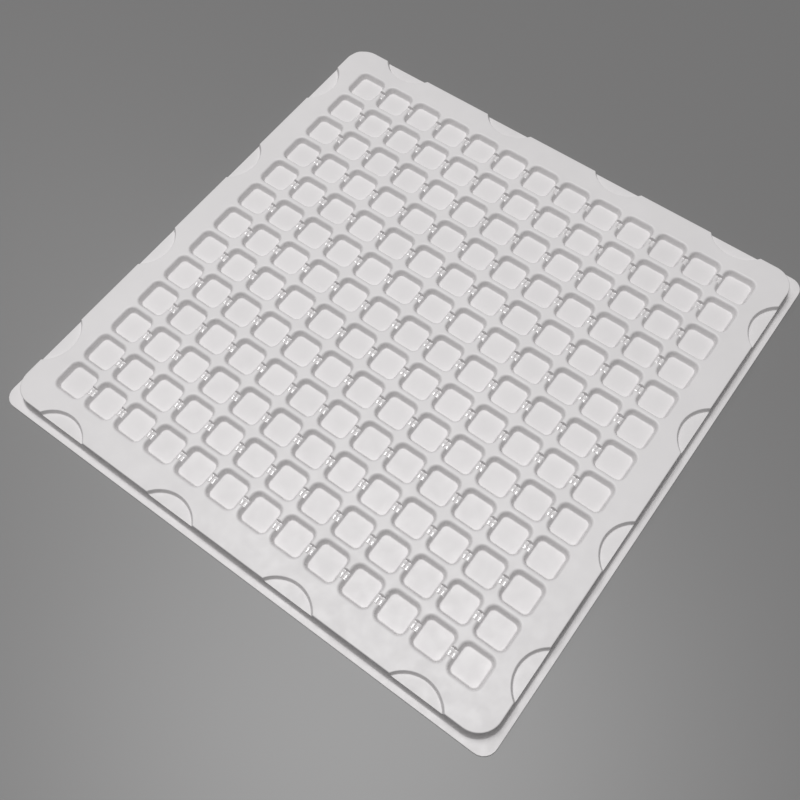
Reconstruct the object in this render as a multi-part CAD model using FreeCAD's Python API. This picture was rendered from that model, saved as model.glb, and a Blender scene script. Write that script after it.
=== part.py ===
import FreeCAD, Part
import math
import os

# A square tray, thermoformed from one plastic sheet: a grid of shallow square pockets in a flat deck,
# half-moon recesses round the deck's edge, a steep skirt, and a flat flange that the tray stands on.
# The sheet is modelled as named regions that meet face to face.
#
# Millimetres, +Z up. The origin is the centre of the tray on the surface that it stands on.
# The rows run along X, and the ribs between neighbours in a row are notched. Front is -Y, right is +X.

# The sheet and the outline
SHEET = 0.8                  # thickness
HEIGHT = 9.5                 # deck surface above the table
DECK = 316.0                 # side of the deck
DECK_CORNER = 13.2           # corner radius of the deck
SKIRT_RUN = 0.8              # how far the skirt leans out from the deck's edge to the flange
TRAY = 326.0                 # side of the flange, the overall size
FLANGE_CORNER = 8.0          # corner radius of the flange

# The pocket field
COUNT = 13                   # pockets in a row, and rows
PITCH = 22.0                 # centre to centre
MOUTH = 19.2                 # side of a pocket at the deck
MOUTH_CORNER = 4.5           # corner radius of the mouth
POCKET_DEPTH = 4.0
WALL_SLOPE = 0.4             # lean of the pocket and recess walls, run over rise

# The notch in each rib between neighbours in a row
NOTCH_MOUTH = 5.2            # width at the deck
NOTCH_DEPTH = 2.6
NOTCH_SLOPE = 0.12           # lean of its two walls, run over rise

# The half-moon recesses, open through the skirt
RECESS_COUNT = 4             # on each side
RECESS_RADIUS = 19.5
RECESS_REACH = 8.6           # how far they reach in from the deck's edge
RECESS_DEPTH = 2.6
RECESS_CUTS = 4              # lengths that the deck beside a recess is divided into

# Worked out from the sizes above
FIELD = COUNT * PITCH / 2
MOUTH_HALF = MOUTH / 2
FLOOR_HALF = MOUTH_HALF - WALL_SLOPE * POCKET_DEPTH
FLOOR_CORNER = MOUTH_CORNER - WALL_SLOPE * POCKET_DEPTH
STRAIGHT = MOUTH_HALF - MOUTH_CORNER             # half the straight length of a pocket wall
WALL = SHEET * math.hypot(1, WALL_SLOPE)         # the sheet's width in plan through a leaning wall
NOTCH_WALL = SHEET * math.hypot(1, NOTCH_SLOPE)
LAND = PITCH / 2 - MOUTH_HALF                    # from a rib's middle to the mouth beside it
FOOT = PITCH / 2 - FLOOR_HALF                    # from a rib's middle to the pocket floor beside it
SKIRT_SLOPE = -SKIRT_RUN / (HEIGHT - SHEET)      # negative, because the skirt widens downwards
SKIRT_WALL = SHEET * math.hypot(1, SKIRT_SLOPE)
SHOULDER = HEIGHT - RECESS_DEPTH - SHEET         # underside of the recess floors
RECESS_CENTRE = DECK / 2 - RECESS_REACH + RECESS_RADIUS
RECESS_CHORD = math.sqrt(RECESS_RADIUS ** 2 - (RECESS_RADIUS - RECESS_REACH) ** 2)
RECESS_FLOOR_RADIUS = RECESS_RADIUS - WALL_SLOPE * RECESS_DEPTH

SIDES = ["right", "back", "left", "front"]       # a quarter turn apart


def box(x_low, x_high, y_low, y_high, z_low=0.0, z_high=HEIGHT):
    corner = FreeCAD.Vector(x_low, y_low, z_low)
    return Part.makeBox(x_high - x_low, y_high - y_low, z_high - z_low, corner)


def moved(shape, x=0.0, y=0.0):
    return shape.translated(FreeCAD.Vector(x, y, 0))


def turned(shape, degrees):
    return shape.rotated(FreeCAD.Vector(0, 0, 0), FreeCAD.Vector(0, 0, 1), degrees)


def rounded_square(half, radius, z):
    """A closed wire: four straight sides joined by quarter circles."""
    edges = []
    for quarter in range(4):
        start = math.radians(90 * quarter)
        across = FreeCAD.Vector(math.cos(start), math.sin(start), 0)
        along = FreeCAD.Vector(-math.sin(start), math.cos(start), 0)
        up = FreeCAD.Vector(0, 0, z)
        reach = half - radius
        side_start = across * half - along * reach + up
        side_end = across * half + along * reach + up
        corner_middle = (across + along) * (reach + radius * math.sqrt(0.5)) + up
        corner_end = across * reach + along * half + up
        edges.append(Part.makeLine(side_start, side_end))
        edges.append(Part.Arc(side_end, corner_middle, corner_end).toShape())
    return Part.Wire(edges)


def prism(half, radius, z_low=0.0, z_high=HEIGHT):
    return Part.Face(rounded_square(half, radius, z_low)).extrude(FreeCAD.Vector(0, 0, z_high - z_low))


def tapered(half, radius, z_top, z_bottom, slope):
    """A rounded square block that narrows by slope on each side for each millimetre down."""
    shrink = slope * (z_top - z_bottom)
    top = rounded_square(half, radius, z_top)
    bottom = rounded_square(half - shrink, radius - shrink, z_bottom)
    return Part.makeLoft([top, bottom], True, True)


def pocket(wall, sheet):
    """The hollow of one pocket, made larger by the sheet's wall and thickness to give its outside."""
    bottom = HEIGHT - POCKET_DEPTH - sheet
    return tapered(MOUTH_HALF + wall, MOUTH_CORNER + wall, HEIGHT, bottom, WALL_SLOPE)


def notch(wall, sheet):
    """The groove across one rib, along X, made larger in the same way."""
    bottom = HEIGHT - NOTCH_DEPTH - sheet
    top_half = NOTCH_MOUTH / 2 + wall
    bottom_half = top_half - NOTCH_SLOPE * (HEIGHT - bottom)
    outline = [(-top_half, HEIGHT), (top_half, HEIGHT), (bottom_half, bottom), (-bottom_half, bottom)]
    corners = [FreeCAD.Vector(-PITCH / 2, y, z) for y, z in outline]
    face = Part.Face(Part.makePolygon(corners + corners[:1]))
    return face.extrude(FreeCAD.Vector(PITCH, 0, 0))


def pressed(flat, hollows, outsides):
    """A flat piece of sheet with hollows pressed into it."""
    return flat.multiFuse(outsides).cut(hollows)


def single(shape):
    """The one solid in a shape, with its split faces joined up."""
    clean = shape.removeSplitter()
    if len(clean.Solids) != 1:
        raise ValueError("expected one solid and found %d" % len(clean.Solids))
    return clean.Solids[0]


def flat_sheet(x_half, y_half):
    return box(-x_half, x_half, -y_half, y_half, HEIGHT - SHEET, HEIGHT)


def pocket_floor():
    bottom = HEIGHT - POCKET_DEPTH - SHEET
    return prism(FLOOR_HALF, FLOOR_CORNER, bottom, bottom + SHEET)


def cross_rib(notched, x_high):
    """Half of the rib between two neighbours in a row, from the middle of its length to a plain rib.

    It holds the leaning walls on both its sides and the rounded pocket corners at its end.
    A smaller x_high cuts it short, for the half rib at a row's end.
    """
    beside = [-PITCH / 2, PITCH / 2]
    hollows = [moved(pocket(0, 0), x) for x in beside]
    outsides = [moved(pocket(WALL, SHEET), x) for x in beside]
    if notched:
        hollows.append(notch(0, 0))
        outsides.append(notch(NOTCH_WALL, SHEET))
    sheet = pressed(flat_sheet(PITCH / 2, PITCH / 2), hollows, outsides)
    reach = PITCH / 2 - STRAIGHT
    region = box(-reach, min(reach, x_high), 0, MOUTH_HALF)
    region = region.cut([moved(prism(FLOOR_HALF, FLOOR_CORNER), x) for x in beside])
    return single(sheet.common(region))


def pocket_row():
    """One row at Y = 0: its floors, its notched ribs in two halves each, and its two end ribs."""
    floor = pocket_floor()
    rib = cross_rib(True, PITCH)
    end = cross_rib(False, 0)
    solids = []
    for place in range(COUNT):
        solids.append(moved(floor, PITCH * (place + 0.5) - FIELD))
    for place in range(1, COUNT):
        for turn in (0, 180):
            solids.append(moved(turned(rib, turn), PITCH * place - FIELD))
    mirror = FreeCAD.Vector(0, 1, 0)
    for half in (end, end.mirror(FreeCAD.Vector(0, 0, 0), mirror)):
        solids.append(moved(half, FIELD))
        solids.append(moved(turned(half, 180), -FIELD))
    return Part.makeCompound(solids)


def plain_rib(y_low, y_high):
    """One plain rib at Y = 0 along the whole field, with the straight pocket walls on its sides.

    y_low and y_high cut it to a half rib where it closes the field.
    """
    beside = [-PITCH / 2, PITCH / 2]
    hollows = [moved(pocket(0, 0), 0, y) for y in beside]
    outsides = [moved(pocket(WALL, SHEET), 0, y) for y in beside]
    sheet = pressed(flat_sheet(PITCH / 2, PITCH / 2), hollows, outsides)
    along = box(-PITCH / 2, PITCH / 2, max(-LAND, y_low), min(LAND, y_high))
    walls = box(-STRAIGHT, STRAIGHT, max(-FOOT, y_low), min(FOOT, y_high))
    length = sheet.common(along.fuse(walls))
    places = [moved(length, PITCH * (place + 0.5) - FIELD) for place in range(COUNT)]
    return single(places[0].multiFuse(places[1:]))


def recess(y, wall, sheet):
    """The hollow of one half-moon recess in the right-hand side, as a cone beyond the deck's edge."""
    depth = RECESS_DEPTH + sheet
    top_radius = RECESS_RADIUS + wall
    bottom_radius = top_radius - WALL_SLOPE * depth
    base = FreeCAD.Vector(RECESS_CENTRE, y, HEIGHT - depth)
    return Part.makeCone(bottom_radius, top_radius, depth, base)


def recess_places():
    return [DECK * ((place + 0.5) / RECESS_COUNT - 0.5) for place in range(RECESS_COUNT)]


def edge_sheet():
    """The border and skirt of the right-hand side, and of the corner after it, above the flange."""
    outside = tapered(DECK / 2, DECK_CORNER, HEIGHT, SHEET, SKIRT_SLOPE)
    lean = SKIRT_SLOPE * SHEET
    inside = tapered(DECK / 2 - SKIRT_WALL - lean, DECK_CORNER - SKIRT_WALL - lean,
                     HEIGHT - SHEET, SHEET, SKIRT_SLOPE)
    places = recess_places()
    outside = outside.cut([recess(y, 0, 0) for y in places])
    inside = inside.cut([recess(y, WALL, SHEET) for y in places])
    side = box(FIELD, TRAY / 2, -FIELD, TRAY / 2)
    return outside.cut(inside).common(side)


def border_and_recess_floors(sheet):
    """The deck border of the right-hand side as convex lengths, and the floors of its recesses."""
    floors = []
    cuts = [-FIELD, FIELD]
    for y in recess_places():
        base = FreeCAD.Vector(RECESS_CENTRE, y, 0)
        inside_walls = Part.makeCylinder(RECESS_FLOOR_RADIUS, HEIGHT, base)
        above = box(FIELD, TRAY / 2, -FIELD, FIELD, SHOULDER, HEIGHT)
        floors.append(single(sheet.common(inside_walls.common(above))))
        sheet = sheet.cut(inside_walls.common(above))
        step = 2 * RECESS_CHORD / RECESS_CUTS
        cuts.extend(y - RECESS_CHORD + step * cut for cut in range(RECESS_CUTS + 1))
    cuts.sort()
    lengths = []
    for low, high in zip(cuts, cuts[1:]):
        lengths.append(single(sheet.common(box(FIELD, TRAY / 2, low, high, SHOULDER, HEIGHT))))
    lengths.append(single(sheet.common(box(FIELD, TRAY / 2, FIELD, TRAY / 2, SHOULDER, HEIGHT))))
    return Part.makeCompound(lengths), Part.makeCompound(floors)


def skirt(sheet):
    straight = single(sheet.common(box(FIELD, TRAY / 2, -FIELD, FIELD, SHEET, SHOULDER)))
    corner = single(sheet.common(box(FIELD, TRAY / 2, FIELD, TRAY / 2, SHEET, SHOULDER)))
    return Part.makeCompound([straight, corner])


def flange():
    """The flat rim of the right-hand side and the corner after it, with the bend under the skirt."""
    foot = DECK / 2 + SKIRT_RUN - SKIRT_WALL
    foot_corner = DECK_CORNER + SKIRT_RUN - SKIRT_WALL
    plate = prism(TRAY / 2, FLANGE_CORNER, 0, SHEET).cut(prism(foot, foot_corner, 0, SHEET))
    straight = single(plate.common(box(FIELD, TRAY / 2, -FIELD, FIELD, 0, SHEET)))
    corner = single(plate.common(box(FIELD, TRAY / 2, FIELD, TRAY / 2, 0, SHEET)))
    return Part.makeCompound([straight, corner])


def export(name, shape):
    shape.exportStep("parts/%s.step" % name)


os.makedirs("parts", exist_ok=True)

row = pocket_row()
for number in range(COUNT):
    export("pocket_row_%02d" % (number + 1), moved(row, 0, PITCH * (number + 0.5) - FIELD))

whole_rib = plain_rib(-FOOT, FOOT)
for number in range(1, COUNT):
    export("rib_%02d" % (number + 1), moved(whole_rib, 0, PITCH * number - FIELD))
export("rib_01", moved(plain_rib(0, FOOT), 0, -FIELD))
export("rib_%02d" % (COUNT + 1), moved(plain_rib(-FOOT, 0), 0, FIELD))

edge = edge_sheet()
border, recess_floors = border_and_recess_floors(edge)
regions = {"deck_border": border, "recess_floors": recess_floors, "skirt": skirt(edge), "flange": flange()}
for region, shape in regions.items():
    for number, side in enumerate(SIDES):
        export("%s_%s" % (region, side), turned(shape, 90 * number))
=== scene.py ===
import math

import bpy
import numpy as np
from mathutils import Matrix, Vector


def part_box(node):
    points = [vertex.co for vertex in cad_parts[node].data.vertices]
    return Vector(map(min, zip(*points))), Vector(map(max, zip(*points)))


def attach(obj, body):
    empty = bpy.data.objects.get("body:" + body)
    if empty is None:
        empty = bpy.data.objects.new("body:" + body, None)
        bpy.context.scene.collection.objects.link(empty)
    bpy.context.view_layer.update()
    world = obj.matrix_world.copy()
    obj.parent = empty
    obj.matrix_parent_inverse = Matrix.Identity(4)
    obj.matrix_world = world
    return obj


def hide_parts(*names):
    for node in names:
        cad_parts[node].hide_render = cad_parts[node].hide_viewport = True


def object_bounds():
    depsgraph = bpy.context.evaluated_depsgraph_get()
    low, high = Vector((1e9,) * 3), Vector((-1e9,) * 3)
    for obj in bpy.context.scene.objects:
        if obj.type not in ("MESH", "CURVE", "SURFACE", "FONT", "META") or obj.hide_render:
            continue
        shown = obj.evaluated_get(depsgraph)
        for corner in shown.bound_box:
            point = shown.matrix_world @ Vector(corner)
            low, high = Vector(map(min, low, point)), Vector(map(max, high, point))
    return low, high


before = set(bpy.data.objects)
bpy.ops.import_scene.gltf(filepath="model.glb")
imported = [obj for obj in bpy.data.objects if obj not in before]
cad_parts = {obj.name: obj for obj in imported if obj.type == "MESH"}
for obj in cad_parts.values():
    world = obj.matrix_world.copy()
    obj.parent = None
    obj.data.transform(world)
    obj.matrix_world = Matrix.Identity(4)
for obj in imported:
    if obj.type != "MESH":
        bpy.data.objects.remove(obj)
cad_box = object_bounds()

# A square tray thermoformed from one satin white plastic sheet. Everything is in metres, in the frame
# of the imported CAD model: +Z up, the origin at the tray's centre on the surface that it stands on.
MM = 0.001

# ---- Sizes read from the frame ----
row_low, row_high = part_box("pocket_row_01")
flange_low, flange_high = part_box("flange_front")
ROWS = len([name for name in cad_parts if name.startswith("pocket_row_")])
TOP = cad_box[1][2]                          # height of the deck
TRAY = cad_box[1][0]                         # half the tray's side, to the flange's edge
SHEET = flange_high.z - flange_low.z         # thickness of the sheet
FIELD = row_high.x                           # half the side of the pocket field
PITCH = 2 * FIELD / ROWS
MOUTH = (row_high.y - row_low.y) / 2         # half a pocket's mouth
POCKET_DEPTH = TOP - SHEET - row_low.z
SKIRT_DEPTH = TOP - SHEET

# ---- Sizes that the frame's boxes do not give ----
WALL_SLOPE = 0.4                             # lean of the pressed walls, run over rise
MOUTH_CORNER = 4.5 * MM
NOTCH = 2.6 * MM                             # half the notch's width at the deck
NOTCH_DEPTH = 2.6 * MM
NOTCH_SLOPE = 0.12                           # lean of the notch's own two walls
DECK = 158.0 * MM                            # half the deck's side
DECK_CORNER = 13.2 * MM
FLANGE_CORNER = 8.0 * MM
SKIRT_RUN = 0.8 * MM
RECESS_RADIUS = 19.5 * MM
RECESS_REACH = 8.6 * MM
RECESS_DEPTH = 2.6 * MM
RECESSES = 4                                 # on each side

# ---- Bends of the sheet ----
RIM_RADIUS = 1.5 * MM
FLOOR_RADIUS = 0.7 * MM
NOTCH_RADIUS = 0.8 * MM
NOTCH_FLOOR_RADIUS = 0.6 * MM
SHOULDER_RADIUS = 0.6 * MM
RECESS_RIM_RADIUS = 0.5 * MM
RECESS_FLOOR_RADIUS = 0.45 * MM
INNER_RADIUS = 0.05 * MM                     # smallest bend on the sheet's inner side
FOOT_WALL = 4.0 * MM                         # how far up the skirt its slow foot curve starts
FOOT_FLOOR = 0.9 * MM                        # and how far out on the flange it ends
TOP_BEVEL = 0.15 * MM                        # on the flange's cut edge
LOWER_BEVEL_RUN = 1.2 * MM
LOWER_BEVEL_RISE = 0.5 * MM

# ---- Relief of a notch's floor ----
PILLOW = 1.2 * MM                            # half width of each of its two swells
PILLOW_HEIGHT = 0.32 * MM
CREASE = 0.35 * MM                           # half width of the crease between the swells
CREASE_DEPTH = 0.4 * MM
NOTCH_CROWN = 0.4 * MM                       # how far the floor rises between the notch's two walls

# ---- Fineness of the meshes ----
BEND_STEPS = 4
RIM_STEPS = 6                                # over a pocket's wider rim
WALL_STEPS = 3
FOOT_STEPS = 16                              # over the skirt's slow foot curve
CORNER_STEPS = 6                             # round a pocket's corner
RIB_STEPS = 2                                # from the middle of a rib to the pocket's rim
ARC_STEPS = 40                               # round a recess
PAD_STEPS = 8                                # along a recess's open edge
CORNER_COLUMNS = 16                          # round a corner of the deck
SUPPORT = 0.2 * MM                           # flat margin beside each bend
SAME_POINT = 0.0005 * MM                     # grid on which points are joined
BLEND_POWER = 10                             # how tightly two pressed hollows meet
NOTCH_STEPS = 3                              # from the middle of a notch's floor to its first bend
FADE = 0.08                                  # share of a pocket's depth over which a notch dies out
SMOOTH_FROM = 0.6                            # share of a notch's depth below which its floor is smooth
SHARP_ANGLE = math.radians(40)

STRAIGHT = MOUTH - MOUTH_CORNER              # half the straight length of a pocket wall
RECESS_CENTRE = DECK - RECESS_REACH + RECESS_RADIUS
RECESS_PLACES = [2 * DECK * ((place + 0.5) / RECESSES - 0.5) for place in range(RECESSES)]


# ---- Profiles of the pressed walls ----
def round_foot(depth, slope, radius):
    """A round bend from the wall to the floor, as runs and drops."""
    lean = math.atan2(1, slope)
    run = slope * depth + radius * math.tan(lean / 2)
    return [(run - radius * math.sin(angle), depth - radius * (1 - math.cos(angle)))
            for angle in np.linspace(lean, 0, BEND_STEPS + 1)]


def slow_foot(depth, slope, along_wall, along_floor):
    """A slower, uneven curve from the wall to the floor, over these lengths of the two."""
    lean = math.atan2(1, slope)
    corner = np.array([slope * depth, depth])
    start = corner - along_wall * np.array([math.cos(lean), math.sin(lean)])
    end = corner + np.array([along_floor, 0.0])
    return [tuple(start * (1 - t) ** 2 + corner * 2 * t * (1 - t) + end * t * t)
            for t in np.linspace(0, 1, FOOT_STEPS + 1)]


def wall_profile(slope, rim_radius, foot, rim_steps=BEND_STEPS):
    """Runs and drops of a wall from the flat sheet over a round rim to the given foot curve.

    The run is measured from where the flat and the wall would meet without a bend.
    """
    lean = math.atan2(1, slope)
    rim_run = rim_radius * math.tan(lean / 2)
    points = [(-rim_run - SUPPORT, 0.0)]
    for angle in np.linspace(0, lean, rim_steps + 1):
        points.append((rim_radius * math.sin(angle) - rim_run, rim_radius * (1 - math.cos(angle))))
    start, end = np.array(points[-1]), np.array(foot[0])
    for step in range(1, WALL_STEPS):
        points.append(tuple(start + (end - start) * step / WALL_STEPS))
    points.extend(foot)
    points.append((foot[-1][0] + SUPPORT, foot[-1][1]))
    return np.array(points)


def under_side(slope):
    """How far the wall's under side lies from its upper side, as a run and a drop."""
    return np.array([slope * SHEET - SHEET * math.hypot(1, slope), SHEET])


def both_profiles(depth, slope, rim_radius, foot_radius, rim_steps=BEND_STEPS):
    """The profile of the sheet's upper side, and that of its under side one thickness away."""
    inner = max(rim_radius - SHEET, INNER_RADIUS)
    upper = wall_profile(slope, rim_radius, round_foot(depth, slope, foot_radius), rim_steps)
    under = wall_profile(slope, inner, round_foot(depth, slope, foot_radius + SHEET), rim_steps)
    return upper, under + under_side(slope)


def skirt_profiles():
    slope = SKIRT_RUN / SKIRT_DEPTH
    longer = SHEET * math.tan(math.atan2(1, slope) / 2)
    inner = max(SHOULDER_RADIUS - SHEET, INNER_RADIUS)
    upper_foot = slow_foot(SKIRT_DEPTH, slope, FOOT_WALL, FOOT_FLOOR)
    under_foot = slow_foot(SKIRT_DEPTH, slope, FOOT_WALL + longer, FOOT_FLOOR + longer)
    upper = wall_profile(slope, SHOULDER_RADIUS, upper_foot)
    under = wall_profile(slope, inner, under_foot)
    return upper, under + under_side(slope)


def deeper(first, second, base):
    """The deeper of two drops, rounded where they meet. base is the drop of the flat sheet."""
    a = np.maximum(np.asarray(first) - base, 0)
    b = np.maximum(np.asarray(second) - base, 0)
    scale = np.maximum(np.maximum(a, b), 1e-9)
    return base + scale * ((a / scale) ** BLEND_POWER + (b / scale) ** BLEND_POWER) ** (1 / BLEND_POWER)


POCKET = both_profiles(POCKET_DEPTH, WALL_SLOPE, RIM_RADIUS, FLOOR_RADIUS, RIM_STEPS)
NOTCHES = both_profiles(NOTCH_DEPTH, NOTCH_SLOPE, NOTCH_RADIUS, NOTCH_FLOOR_RADIUS)
SKIRT = skirt_profiles()
RECESS = both_profiles(RECESS_DEPTH, WALL_SLOPE, RECESS_RIM_RADIUS, RECESS_FLOOR_RADIUS)


# ---- Closed shells of sheet ----
def boundary(faces):
    """The edges that only one face uses, in that face's direction."""
    used = {}
    for face in faces:
        for a, b in zip(face, face[1:] + face[:1]):
            used[(a, b)] = True
    return [edge for edge in used if (edge[1], edge[0]) not in used]


def merged(points, faces):
    """Joins points that coincide. Gives the index of one point of each group, and the new faces."""
    keys = np.round(points / SAME_POINT).astype(np.int64)
    unused, first, index = np.unique(keys, axis=0, return_index=True, return_inverse=True)
    index = index.reshape(-1)
    joined = []
    for face in faces:
        ring = []
        for corner in face:
            new = int(index[corner])
            if not ring or (new != ring[-1] and new != ring[0]):
                ring.append(new)
        if len(ring) > 2:
            joined.append(ring)
    return first, joined


def shell(name, upper, under, faces, materials, polished=None):
    """A closed piece of sheet from matching points on its two sides.

    polished tells whether the face with this centre has the second material.
    """
    kept, faces = merged(upper, faces)
    upper, under = upper[kept], under[kept]
    used = sorted(set(corner for face in faces for corner in face))
    renumber = {old: new for new, old in enumerate(used)}
    faces = [[renumber[corner] for corner in face] for face in faces]
    upper, under = upper[used], under[used]
    count = len(upper)
    below = [[corner + count for corner in reversed(face)] for face in faces]
    rim = [[b, a, a + count, b + count] for a, b in boundary(faces)]
    mesh = bpy.data.meshes.new(name)
    mesh.from_pydata(np.vstack([upper, under]).tolist(), [], faces + below + rim)
    mesh.validate()
    mesh.polygons.foreach_set("use_smooth", [True] * len(mesh.polygons))
    mesh.set_sharp_from_angle(angle=SHARP_ANGLE)
    mesh.materials.append(materials[0])
    if polished is not None:
        mesh.materials.append(materials[1])
        mesh.polygons.foreach_set("material_index", [int(polished(face.center)) for face in mesh.polygons])
    piece = bpy.data.objects.new(name, mesh)
    bpy.context.scene.collection.objects.link(piece)
    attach(piece, "root")
    return piece


# ---- One pocket ----
def side_stations(notched):
    """Places along the straight part of a pocket's side. A notched side has more, across the notch."""
    if not notched:
        return [-STRAIGHT, 0.0, STRAIGHT]
    bends = sorted(NOTCH - NOTCHES[0][:, 0])
    half = [bends[0] * step / NOTCH_STEPS for step in range(NOTCH_STEPS)] + bends + [STRAIGHT]
    return [-place for place in reversed(half[1:])] + half


def ring_plan():
    """One entry for each point round a pocket: its side, its place along the side, its corner angle."""
    plan = []
    for side in range(4):
        for place in side_stations(side % 2 == 0):
            plan.append((side, place, 0.0))
        for step in range(1, CORNER_STEPS):
            plan.append((side, STRAIGHT, 0.5 * math.pi * step / CORNER_STEPS))
    return plan


RING = ring_plan()


def turned(x, y, quarters):
    for _ in range(quarters):
        x, y = -y, x
    return x, y


def rim_ring(run):
    """A ring round the pocket, run inside the line where the deck and the walls would meet."""
    ring = []
    for side, place, angle in RING:
        if angle:
            reach = MOUTH_CORNER - run
            point = (STRAIGHT + reach * math.cos(angle), STRAIGHT + reach * math.sin(angle))
        else:
            point = (MOUTH - run, place)
        ring.append(turned(*point, side))
    return np.array(ring)


def cell_ring():
    """The edge of the square cell that holds one pocket."""
    half, span = PITCH / 2, PITCH / 2 - STRAIGHT
    ring = []
    for side, place, angle in RING:
        if angle == 0:
            point = (half, place)
        elif angle <= math.pi / 4:
            point = (half, STRAIGHT + span * math.tan(angle))
        else:
            point = (STRAIGHT + span / math.tan(angle), half)
        ring.append(turned(*point, side))
    return np.array(ring)


def notch_drop(points, profile, base, open_left, open_right):
    """How far the notches on a pocket's two sides press the sheet down at these points."""
    x, y = points[:, 0], points[:, 1]
    across = np.interp(NOTCH - np.abs(y), profile[:, 0], profile[:, 1])
    aside = np.abs(PITCH / 2 - np.abs(x))
    swell = NOTCH_CROWN * np.clip(1 - (y / (NOTCH - NOTCH_SLOPE * NOTCH_DEPTH)) ** 2, 0, 1)
    swell += PILLOW_HEIGHT * np.clip(1 - ((aside - PILLOW) / PILLOW) ** 2, 0, 1)
    swell -= CREASE_DEPTH * np.clip(1 - aside / CREASE, 0, 1)
    open_here = np.where(x > 0, open_right, open_left) & (np.abs(x) > STRAIGHT)
    drop = base + (across - base) * (1 - swell / NOTCH_DEPTH)
    return np.where(open_here, drop, base)


def pocket_cell(level, open_left, open_right):
    """Points of one pocket cell, ring by ring from its outer edge to its floor."""
    profile, base = POCKET[level], SHEET * level
    first = rim_ring(profile[0, 0])
    outer = cell_ring()
    rings, drops = [], []
    for step in range(RIB_STEPS):
        rings.append(outer + (first - outer) * step / RIB_STEPS)
        drops.append(base)
    for run, drop in profile:
        rings.append(rim_ring(run))
        drops.append(drop)
    points = []
    for ring, drop in zip(rings, drops):
        fade = np.clip((base + POCKET_DEPTH - drop) / (FADE * POCKET_DEPTH), 0, 1)
        notch = notch_drop(ring, NOTCHES[level], base, open_left, open_right)
        down = deeper(drop, base + (notch - base) * fade, base)
        points.append(np.column_stack([ring, TOP - down]))
    return np.vstack(points)


def cell_faces():
    count = len(RING)
    rings = RIB_STEPS + len(POCKET[0])
    faces = []
    for ring in range(rings - 1):
        for place in range(count):
            after = (place + 1) % count
            faces.append([ring * count + place, ring * count + after,
                          (ring + 1) * count + after, (ring + 1) * count + place])
    faces.append([(rings - 1) * count + place for place in range(count)])
    return faces


def in_notch(centre):
    """Whether this place is on the smoother floor of a notch."""
    x = (centre.x + FIELD) % PITCH
    y = (centre.y + FIELD) % PITCH - PITCH / 2
    on_floor = TOP - centre.z > SMOOTH_FROM * NOTCH_DEPTH and abs(y) < NOTCH
    return on_floor and min(x, PITCH - x) < PITCH / 2 - MOUTH + WALL_SLOPE * NOTCH_DEPTH


def pocket_row(number, materials):
    """One row of pockets along X, with the rib on its -Y side. The last row has both its ribs."""
    faces, levels = [], ([], [])
    cell = cell_faces()
    size = (RIB_STEPS + len(POCKET[0])) * len(RING)
    y = PITCH * (number + 0.5) - FIELD
    for column in range(ROWS):
        x = PITCH * (column + 0.5) - FIELD
        for level in (0, 1):
            points = pocket_cell(level, column > 0, column < ROWS - 1)
            levels[level].append(points + np.array([x, y, 0]))
        faces.extend([[corner + column * size for corner in face] for face in cell])
    name = "pocket_row_%02d" % (number + 1)
    upper, under = np.vstack(levels[0]), np.vstack(levels[1])
    piece = shell("row_%02d" % (number + 1), upper, under, faces, materials, in_notch)
    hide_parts(name, "rib_%02d" % (number + 1))
    if number == ROWS - 1:
        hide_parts("rib_%02d" % (ROWS + 1))


# ---- The border, its recesses, the skirt and the flange ----
def recess_arcs(level, y):
    """Arcs of one recess in the right-hand side, from its rim to its floor, cut at the shoulder."""
    line = DECK + SKIRT[level][0, 0]
    arcs = []
    for run, drop in RECESS[level]:
        radius = RECESS_RADIUS - run
        end = math.acos((RECESS_CENTRE - line) / radius)
        angles = np.linspace(-end, end, ARC_STEPS + 1)
        arcs.append(np.column_stack([RECESS_CENTRE - radius * np.cos(angles), y + radius * np.sin(angles),
                                     np.full(len(angles), TOP - drop)]))
    return arcs


def recess_drop(x, y, level):
    profile, base = RECESS[level], SHEET * level
    drop = np.full(len(x), base)
    for place in RECESS_PLACES:
        radius = np.hypot(x - RECESS_CENTRE, y - place)
        drop = np.maximum(drop, np.interp(RECESS_RADIUS - radius, profile[:, 0], profile[:, 1]))
    return drop


def edge_columns(level):
    """Places along the right-hand side, as (Y, corner angle), from one corner's start to the next's end."""
    straight = DECK - DECK_CORNER
    columns = [(-straight, 0.0)]
    for y in RECESS_PLACES:
        arcs = recess_arcs(level, y)
        low = [arc[0, 1] for arc in arcs]
        high = [arc[-1, 1] for arc in reversed(arcs)]
        pads = np.linspace(low[-1], high[0], PAD_STEPS + 1)[1:-1]
        columns.extend((place, 0.0) for place in low + list(pads) + high)
    columns.append((straight, 0.0))
    for step in range(1, CORNER_COLUMNS + 1):
        columns.append((straight, 0.5 * math.pi * step / CORNER_COLUMNS))
    return columns


def outline_ray(angle, half, corner):
    """Where a ray from the deck corner's centre meets a larger rounded square."""
    centre = DECK - DECK_CORNER
    inner = half - corner - centre
    away = Vector((math.cos(angle), math.sin(angle)))
    reach = (half - centre) / max(away)
    point = away * reach
    if min(point) > inner:
        middle = Vector((inner, inner))
        along = away.dot(middle)
        reach = along + math.sqrt(along * along - middle.dot(middle) + corner * corner)
        point = away * reach
    return centre + point.x, centre + point.y


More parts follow.
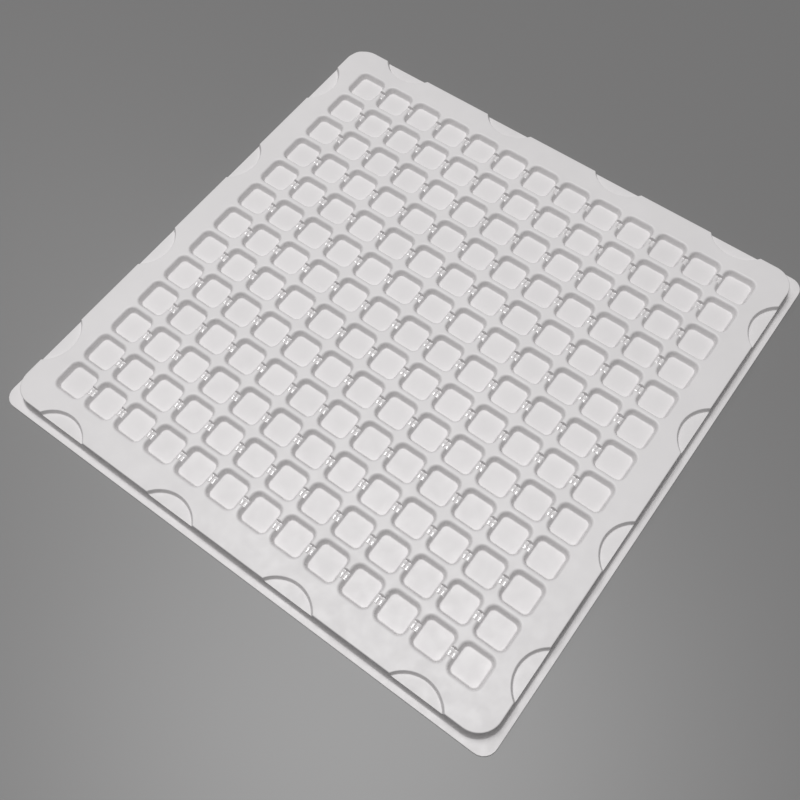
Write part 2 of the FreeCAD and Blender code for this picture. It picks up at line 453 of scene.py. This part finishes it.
def edge_rings(level):
    """Rings of the side from the deck's shoulder to the flange's cut edge, in outward order."""
    columns = edge_columns(level)
    y = np.array([place for place, angle in columns])
    angle = np.array([angle for place, angle in columns])
    base = SHEET * level
    centre = DECK - DECK_CORNER
    rings = []
    for run, drop in SKIRT[level]:
        radius = DECK_CORNER + run
        x_here = np.where(angle > 0, centre + radius * np.cos(angle), DECK + run)
        y_here = np.where(angle > 0, centre + radius * np.sin(angle), y)
        down = deeper(drop, recess_drop(x_here, y_here, level), base)
        rings.append(np.column_stack([x_here, y_here, TOP - down]))
    if level == 0:
        edge_drops = [(TOP_BEVEL, SKIRT_DEPTH), (0.0, SKIRT_DEPTH + TOP_BEVEL)]
    else:
        edge_drops = [(LOWER_BEVEL_RUN, TOP), (0.0, TOP - LOWER_BEVEL_RISE)]
    for inset, drop in edge_drops:
        ring = []
        for place, turn in columns:
            if turn > 0:
                point = outline_ray(turn, TRAY - inset, FLANGE_CORNER - inset)
            else:
                point = (TRAY - inset, place)
            ring.append((*point, TOP - drop))
        rings.append(np.array(ring))
    return rings


def side_surface(level, part):
    """Points and faces of one named part of the right-hand side."""
    rings = edge_rings(level)
    on_wall = BEND_STEPS + 2 + WALL_STEPS // 2   # the ring where the border ends and the skirt starts
    foot = len(SKIRT[0]) - 1
    edge = len(rings) - 1
    spans = {"deck_border": (0, on_wall), "skirt": (on_wall, foot), "flange": (foot, edge)}
    first, last = spans[part]
    count = len(rings[0])
    points = list(np.vstack(rings[first:last + 1]))
    faces = []
    for ring in range(last - first):
        for place in range(count - 1):
            here = ring * count + place
            faces.append([here, here + count, here + count + 1, here + 1])
    if part == "deck_border":
        add_deck(level, points, faces)
    return np.array(points), faces


def add_deck(level, points, faces):
    """The flat deck beside the pocket field, with the walls and floors of the recesses in it."""
    depth = TOP - SHEET * level
    arc_count = len(RECESS[0])
    outline = [0]
    place = 1
    for y in RECESS_PLACES:
        arcs = recess_arcs(level, y)
        starts = []
        for arc in arcs:
            starts.append(len(points))
            points.extend(arc)
        for ring in range(arc_count - 1):
            for step in range(ARC_STEPS):
                outer, inner = starts[ring] + step, starts[ring + 1] + step
                faces.append([outer, inner, inner + 1, outer + 1])
        pad_low = place + arc_count - 1
        pad = list(range(pad_low, pad_low + PAD_STEPS + 1))
        last = starts[-1]
        faces.append(pad + [last + step for step in range(ARC_STEPS - 1, 0, -1)])
        outline.extend(starts[0] + step for step in range(ARC_STEPS + 1))
        place += 2 * arc_count + PAD_STEPS - 1
    outline.append(place)
    outline.extend(range(place + 1, place + 1 + CORNER_COLUMNS // 2))
    field = len(points)
    points.extend([np.array([FIELD, FIELD, depth]), np.array([FIELD, -FIELD, depth])])
    faces.append(outline + [field, field + 1])
    # The half of the corner that belongs to the next side, as far as the corner's diagonal.
    rest = range(place + CORNER_COLUMNS // 2, place + CORNER_COLUMNS + 1)
    faces.append(list(rest) + [field])


def edge_part(part, materials):
    """A whole ring of the tray's edge, from one side turned four times."""
    levels, faces = ([], []), []
    for level in (0, 1):
        points, side_faces = side_surface(level, part)
        for quarter in range(4):
            turn = np.array(Matrix.Rotation(quarter * math.pi / 2, 3, "Z"))
            levels[level].append(points @ turn.T)
    count = len(levels[0][0])
    for quarter in range(4):
        faces.extend([[corner + quarter * count for corner in face] for face in side_faces])
    piece = shell(part, np.vstack(levels[0]), np.vstack(levels[1]), faces, materials)
    regions = ["deck_border", "recess_floors"] if part == "deck_border" else [part]
    for region in regions:
        for side in ("front", "right", "back", "left"):
            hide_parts("%s_%s" % (region, side))


# ---- Materials ----
MOTTLE_COLOURS = ((0.70, 0.682, 0.686, 1), (0.73, 0.711, 0.715, 1))
MOTTLE_SCALE = 28                            # noise scales are in cells per metre
NOISE_RANGE = (0.3, 0.7)                     # the part of the noise's values that is spread out
GLOSS_SCALE = 160
GLOSS_SPREAD = 0.15                          # how far the roughness varies, as a share
WAVES = (22, 0.8 * MM)                       # noise scale and height of the sheet's slow waves
GRAIN = (1400, 0.02 * MM)                    # and of its fine grain
BUMP_STRENGTH = 0.5
FLOOR_COLOUR = (0.20, 0.198, 0.198, 1)
FLOOR_ROUGHNESS = 0.4


def white_sheet(name, roughness, shine):
    """White plastic with a fine grain, slow waves of the surface and a faint mottle."""
    material = bpy.data.materials.new(name)
    material.use_nodes = True
    nodes, links = material.node_tree.nodes, material.node_tree.links
    shader = nodes["Principled BSDF"]
    shader.inputs["Specular IOR Level"].default_value = shine
    place = nodes.new("ShaderNodeTexCoord")

    def noise(scale, detail):
        texture = nodes.new("ShaderNodeTexNoise")
        texture.inputs["Scale"].default_value = scale
        texture.inputs["Detail"].default_value = detail
        links.new(place.outputs["Object"], texture.inputs["Vector"])
        return texture.outputs["Fac"]

    def spread(source, low, high):
        scale = nodes.new("ShaderNodeMapRange")
        scale.inputs["From Min"].default_value = NOISE_RANGE[0]
        scale.inputs["From Max"].default_value = NOISE_RANGE[1]
        scale.inputs["To Min"].default_value = low
        scale.inputs["To Max"].default_value = high
        links.new(source, scale.inputs["Value"])
        return scale.outputs["Result"]

    mottle = nodes.new("ShaderNodeMix")
    mottle.data_type = "RGBA"
    mottle.inputs["A"].default_value, mottle.inputs["B"].default_value = MOTTLE_COLOURS
    links.new(spread(noise(MOTTLE_SCALE, detail=3), 0, 1), mottle.inputs["Factor"])
    links.new(mottle.outputs["Result"], shader.inputs["Base Color"])
    low, high = roughness * (1 - GLOSS_SPREAD), roughness * (1 + GLOSS_SPREAD)
    links.new(spread(noise(GLOSS_SCALE, detail=2), low, high), shader.inputs["Roughness"])
    normal = None
    for scale, height in (WAVES, GRAIN):
        bump = nodes.new("ShaderNodeBump")
        bump.inputs["Strength"].default_value = BUMP_STRENGTH
        bump.inputs["Distance"].default_value = height
        links.new(noise(scale, detail=2), bump.inputs["Height"])
        if normal is not None:
            links.new(normal, bump.inputs["Normal"])
        normal = bump.outputs["Normal"]
    links.new(normal, shader.inputs["Normal"])
    return material


def floor_material():
    material = bpy.data.materials.new("pale_floor")
    material.use_nodes = True
    shader = material.node_tree.nodes["Principled BSDF"]
    shader.inputs["Base Color"].default_value = FLOOR_COLOUR
    shader.inputs["Roughness"].default_value = FLOOR_ROUGHNESS
    return material


# ---- Floor, light and camera ----
FLOOR_SIZE = 12.0
AMBIENT = 0.04                               # strength of the white surroundings
LIGHT_DISTANCE = 3.0

CAMERA_AZIMUTH = -50.94                      # degrees round from +X
CAMERA_ELEVATION = 62.98
CAMERA_DISTANCE = 24.767 * PITCH
CAMERA_ROLL = -2.91
CAMERA_AIM = Vector((0.909 * PITCH, -1.716 * PITCH, TOP))
CAMERA_LENS = 45.27                          # focal length and sensor width in millimetres
CAMERA_SENSOR = 36
CAMERA_NEAREST = 10 * MM


def direction(azimuth, elevation):
    """The unit vector at these angles in degrees. Azimuth 0 is +X."""
    turn, lift = math.radians(azimuth), math.radians(elevation)
    return Vector((math.cos(turn) * math.cos(lift), math.sin(turn) * math.cos(lift), math.sin(lift)))


def add_floor():
    size = FLOOR_SIZE / 2
    mesh = bpy.data.meshes.new("floor")
    corners = [(-size, -size, 0), (size, -size, 0), (size, size, 0), (-size, size, 0)]
    mesh.from_pydata(corners, [], [(0, 1, 2, 3)])
    mesh.materials.append(floor_material())
    floor = bpy.data.objects.new("floor", mesh)
    bpy.context.scene.collection.objects.link(floor)


def add_softbox(name, azimuth, elevation, size, power):
    """An area light that faces the tray from this direction."""
    data = bpy.data.lights.new(name, "AREA")
    data.shape = "RECTANGLE"
    data.size, data.size_y = size
    data.energy = power
    away = direction(azimuth, elevation)
    lamp = bpy.data.objects.new(name, data)
    lamp.location = away * LIGHT_DISTANCE
    lamp.rotation_euler = away.to_track_quat("Z", "Y").to_euler()
    bpy.context.scene.collection.objects.link(lamp)


def add_lights():
    bpy.context.scene.view_settings.view_transform = "Standard"
    world = bpy.data.worlds.new("studio")
    bpy.context.scene.world = world
    world.use_nodes = True
    background = world.node_tree.nodes["Background"]
    background.inputs["Color"].default_value = (1, 1, 1, 1)
    background.inputs["Strength"].default_value = AMBIENT
    add_softbox("key", azimuth=178, elevation=85, size=(1.6, 1.6), power=76)
    add_softbox("side", azimuth=163, elevation=58, size=(0.7, 1.3), power=9)


def add_camera():
    data = bpy.data.cameras.new("camera")
    data.lens = CAMERA_LENS
    data.sensor_width = CAMERA_SENSOR
    data.clip_start = CAMERA_NEAREST
    camera = bpy.data.objects.new("camera", data)
    away = direction(CAMERA_AZIMUTH, CAMERA_ELEVATION)
    facing = away.to_track_quat("Z", "Y").to_matrix()
    roll = Matrix.Rotation(math.radians(CAMERA_ROLL), 3, "Z")
    place = Matrix.Translation(CAMERA_AIM + away * CAMERA_DISTANCE)
    camera.matrix_world = place @ (facing @ roll).to_4x4()
    bpy.context.scene.collection.objects.link(camera)
    bpy.context.scene.camera = camera


add_camera()
add_lights()
add_floor()
sheet_materials = (white_sheet("white_sheet", roughness=0.49, shine=0.5),
                   white_sheet("white_sheet_smooth", roughness=0.11, shine=0.9))
for row_number in range(ROWS):
    pocket_row(row_number, sheet_materials)
for part_name in ("deck_border", "skirt", "flange"):
    edge_part(part_name, sheet_materials)
